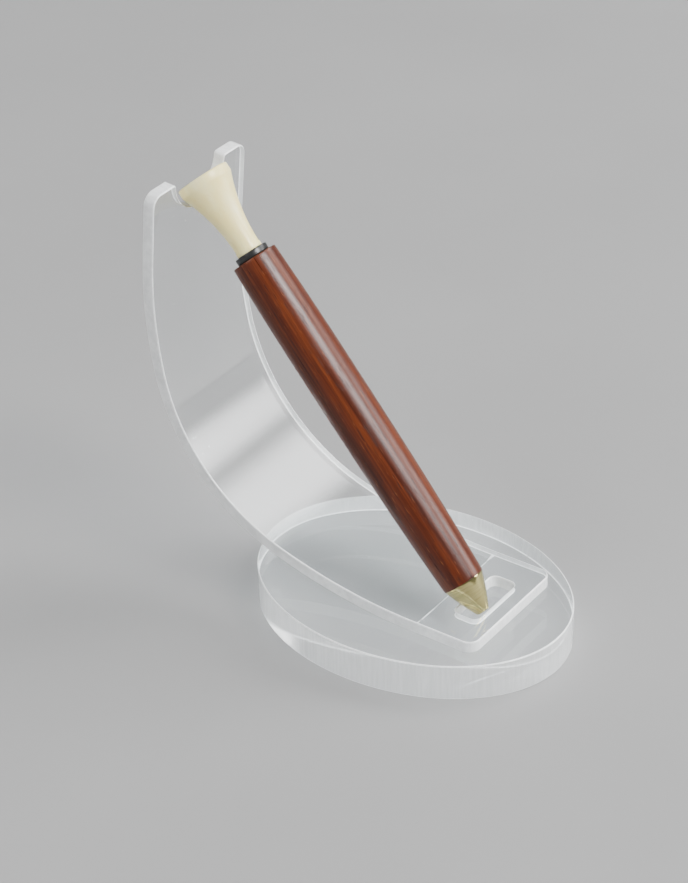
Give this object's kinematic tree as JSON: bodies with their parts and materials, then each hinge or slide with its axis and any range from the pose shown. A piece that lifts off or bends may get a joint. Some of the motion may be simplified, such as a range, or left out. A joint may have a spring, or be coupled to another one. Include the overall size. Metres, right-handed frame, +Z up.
{
  "type": "dip pen holder",
  "caption": "Turned wooden nib holder with a flared pale finial and a metal nib ferrule, leaning in a clear bent stand with a notch, a tip slot and an oval base.",
  "frame": {"origin": "centre of the oval base's underside", "axes": "+Z up; -Y towards the toe of the strip's foot, +Y towards its upright; X across the strip"},
  "size_m": [0.0646, 0.1106, 0.111],
  "materials": {
    "clear_acrylic": "clear, polished faces and edges",
    "rosewood": "satin lacquer over straight grain",
    "tube_brass": "turned",
    "pale_gold": "polished pale gold plate",
    "spring_steel": "turned",
    "black_resin": "polished",
    "cream_resin": "polished, bone-like"
  },
  "bodies": {
    "stand": {"base_disc": "clear_acrylic", "cradle_arm": "clear_acrylic"},
    "pen": {"barrel": "rosewood", "barrel_tube": "tube_brass", "nib_bush": "tube_brass", "end_bush": "tube_brass"},
    "nib_end": {"ferrule": "pale_gold", "nib_sleeve": "spring_steel"},
    "collar": {"finial_collar": "black_resin"},
    "end_cap": {"finial": "cream_resin", "finial_stud": "spring_steel"}
  },
  "joints": [
    {"name": "pen_lift", "type": "slide", "parent": "stand", "child": "pen", "axis": [0, 0, 1], "range_m": [0, 0.13]},
    {"name": "ferrule_turn", "type": "hinge", "parent": "pen", "child": "nib_end", "pos_m": [-0.00409, -0.01764, 0.01914], "axis": [-0.0341, -0.6722, -0.7396], "range_deg": [0, 1800]},
    {"name": "finial_rise", "type": "slide", "parent": "pen", "child": "collar", "axis": [0.0341, 0.6722, 0.7396], "range_m": [0, 0.0035]},
    {"name": "finial_turn", "type": "hinge", "parent": "collar", "child": "end_cap", "pos_m": [-0.0008, 0.04729, 0.09058], "axis": [0.0341, 0.6722, 0.7396], "range_deg": [0, 1800]}
  ],
  "couplings": [
    {"joint": "finial_turn", "follows": "finial_rise", "rad_per_m": 8975.9}
  ]
}
